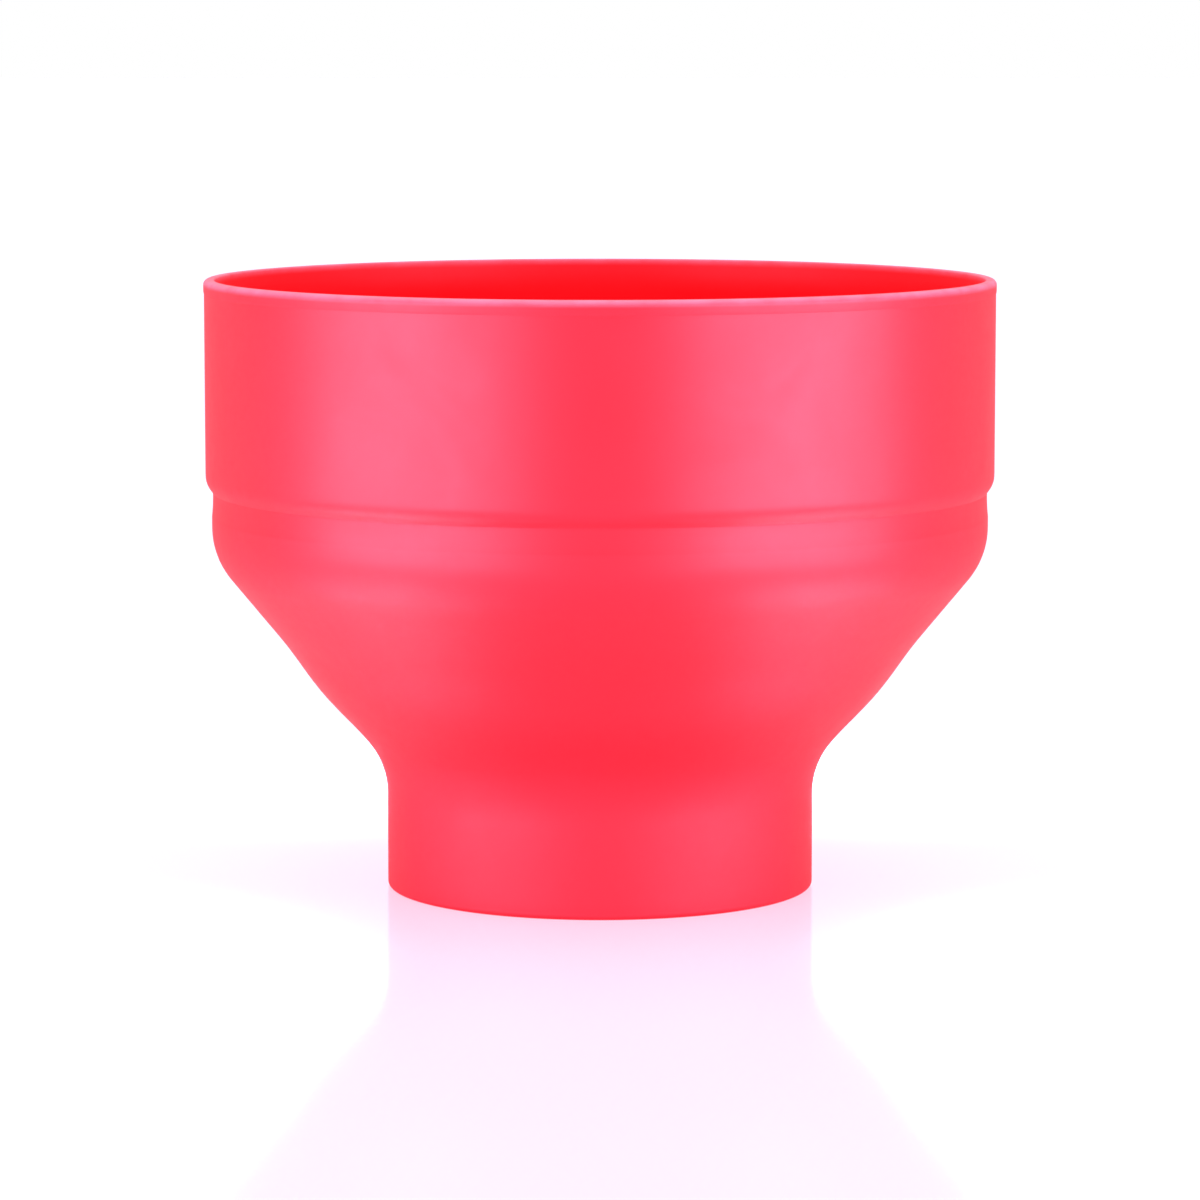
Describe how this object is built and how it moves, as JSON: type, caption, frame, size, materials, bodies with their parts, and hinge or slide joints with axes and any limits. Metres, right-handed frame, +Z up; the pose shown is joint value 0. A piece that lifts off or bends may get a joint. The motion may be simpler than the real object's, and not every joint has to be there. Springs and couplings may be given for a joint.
{
  "type": "collapsible popcorn bowl",
  "caption": "Collapsible silicone bowl for popping corn in a microwave: an upright band over a leaning wall that folds down around a cup-shaped base.",
  "frame": {"origin": "centre of the underside of the base, on the surface the bowl stands on", "axes": "+Z up along the bowl's turning axis; the bowl is the same all round, so +X and +Y are free"},
  "size_m": [0.2, 0.2, 0.155],
  "materials": {
    "silicone": "satin food-grade silicone, coral red"
  },
  "bodies": {
    "base": {"base_floor": "silicone", "base_wall": "silicone"},
    "fold_1": {"fold_ring_1": "silicone"},
    "fold_2": {"fold_ring_2": "silicone"},
    "fold_3": {"fold_ring_3": "silicone"},
    "fold_4": {"fold_ring_4": "silicone"},
    "fold_5": {"fold_ring_5": "silicone"},
    "fold_6": {"fold_ring_6": "silicone"},
    "fold_7": {"fold_ring_7": "silicone"},
    "fold_8": {"fold_ring_8": "silicone"},
    "shoulder": {"shoulder_ring": "silicone"},
    "band": {"upper_band": "silicone", "rim_bead": "silicone"}
  },
  "joints": [
    {"name": "collapse", "type": "slide", "parent": "base", "child": "band", "axis": [0, 0, -1], "range_m": [0, 0.095]},
    {"name": "fold_1_slide", "type": "slide", "parent": "base", "child": "fold_1", "axis": [0, 0, -1], "range_m": [0, 0.0058]},
    {"name": "fold_2_slide", "type": "slide", "parent": "base", "child": "fold_2", "axis": [0, 0, -1], "range_m": [0, 0.0163]},
    {"name": "fold_3_slide", "type": "slide", "parent": "base", "child": "fold_3", "axis": [0, 0, -1], "range_m": [0, 0.0267]},
    {"name": "fold_4_slide", "type": "slide", "parent": "base", "child": "fold_4", "axis": [0, 0, -1], "range_m": [0, 0.0372]},
    {"name": "fold_5_slide", "type": "slide", "parent": "base", "child": "fold_5", "axis": [0, 0, -1], "range_m": [0, 0.0476]},
    {"name": "fold_6_slide", "type": "slide", "parent": "base", "child": "fold_6", "axis": [0, 0, -1], "range_m": [0, 0.0581]},
    {"name": "fold_7_slide", "type": "slide", "parent": "base", "child": "fold_7", "axis": [0, 0, -1], "range_m": [0, 0.0685]},
    {"name": "fold_8_slide", "type": "slide", "parent": "base", "child": "fold_8", "axis": [0, 0, -1], "range_m": [0, 0.0752]},
    {"name": "shoulder_slide", "type": "slide", "parent": "base", "child": "shoulder", "axis": [0, 0, -1], "range_m": [0, 0.0823]}
  ],
  "couplings": [
    {"joint": "fold_1_slide", "follows": "collapse", "ratio": 0.06},
    {"joint": "fold_2_slide", "follows": "collapse", "ratio": 0.17},
    {"joint": "fold_3_slide", "follows": "collapse", "ratio": 0.28},
    {"joint": "fold_4_slide", "follows": "collapse", "ratio": 0.39},
    {"joint": "fold_5_slide", "follows": "collapse", "ratio": 0.5},
    {"joint": "fold_6_slide", "follows": "collapse", "ratio": 0.61},
    {"joint": "fold_7_slide", "follows": "collapse", "ratio": 0.72},
    {"joint": "fold_8_slide", "follows": "collapse", "ratio": 0.79},
    {"joint": "shoulder_slide", "follows": "collapse", "ratio": 0.865}
  ]
}
